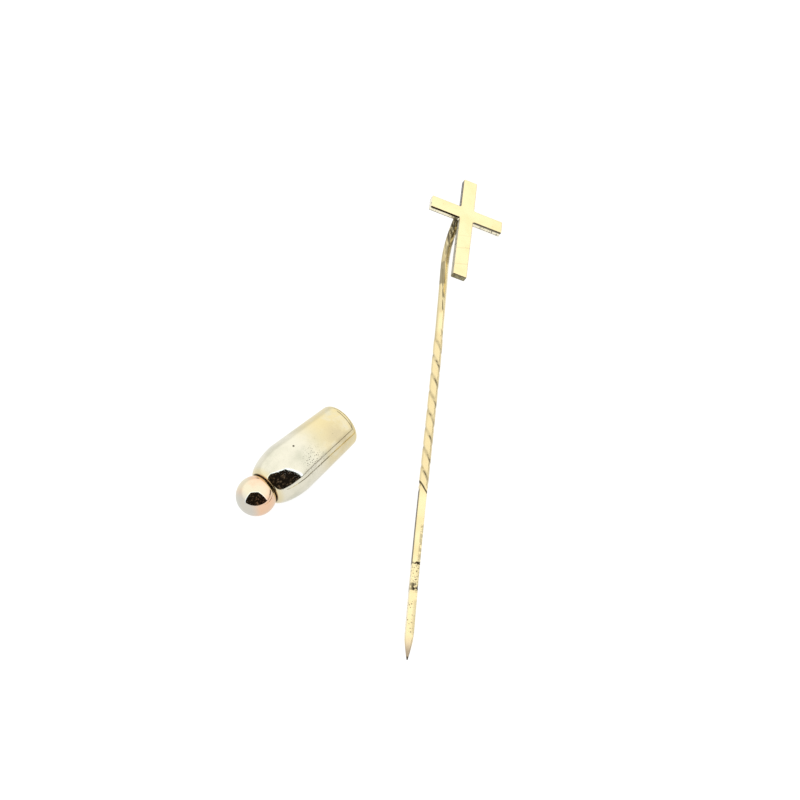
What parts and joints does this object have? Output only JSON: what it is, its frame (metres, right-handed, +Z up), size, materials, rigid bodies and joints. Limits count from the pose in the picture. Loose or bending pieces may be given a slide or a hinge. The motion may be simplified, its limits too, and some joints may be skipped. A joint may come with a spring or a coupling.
{
  "type": "stick pin with clutch",
  "caption": "Gold cross stick pin with a twisted wire shank, lying beside its loose barrel clutch with a spring-loaded ball knob that locks on the shank.",
  "frame": {"origin": "bottom centre of the whole lying object, on the plane that it rests on", "axes": "+Z up from that plane; +Y along the shank from the point towards the cross; +X from the clutch's side towards the pin"},
  "size_m": [0.0224, 0.0544, 0.0052],
  "materials": {
    "yellow_gold": "polished yellow gold, worn",
    "pale_gold": "polished pale gold plate",
    "rose_gold": "polished rose gold plate",
    "solder": "matt gold solder",
    "raw_brass": "turned brass",
    "spring_steel": "bright steel"
  },
  "bodies": {
    "pin": {"cross": "yellow_gold", "solder_joint": "solder", "pin_wire": "yellow_gold"},
    "clutch": {"barrel_shell": "pale_gold", "mouth_bush": "pale_gold", "cone_sleeve": "raw_brass", "spring_washer": "raw_brass", "end_collar": "raw_brass", "coil_spring": "spring_steel"},
    "plunger": {"ball_cage": "raw_brass", "plunger_stem": "pale_gold", "ball_knob": "rose_gold"},
    "lock_ball_1": {"locking_ball_1": "spring_steel"},
    "lock_ball_2": {"locking_ball_2": "spring_steel"},
    "lock_ball_3": {"locking_ball_3": "spring_steel"}
  },
  "joints": [
    {"name": "clutch_slide", "type": "slide", "parent": "pin", "child": "clutch", "axis": [0.6004, 0.7997, 0], "range_m": [-0.003, 0.009]},
    {"name": "knob_pull", "type": "slide", "parent": "clutch", "child": "plunger", "axis": [-0.5992, -0.798, 0.0647], "range_m": [0, 0.0012], "stiffness_N_per_m": 800, "springref_m": -0.0005, "deforming": ["coil_spring"]},
    {"name": "locking_ball_1_slide", "type": "slide", "parent": "plunger", "child": "lock_ball_1", "axis": [0.7997, -0.6004, 0], "range_m": [0, 0.00032]},
    {"name": "locking_ball_2_slide", "type": "slide", "parent": "plunger", "child": "lock_ball_2", "axis": [-0.4335, 0.2554, -0.8642], "range_m": [0, 0.00032]},
    {"name": "locking_ball_3_slide", "type": "slide", "parent": "plunger", "child": "lock_ball_3", "axis": [-0.3662, 0.345, 0.8642], "range_m": [0, 0.00032]}
  ],
  "couplings": [
    {"joint": "locking_ball_1_slide", "follows": "knob_pull", "ratio": 0.24933},
    {"joint": "locking_ball_2_slide", "follows": "knob_pull", "ratio": 0.24933},
    {"joint": "locking_ball_3_slide", "follows": "knob_pull", "ratio": 0.24933}
  ]
}
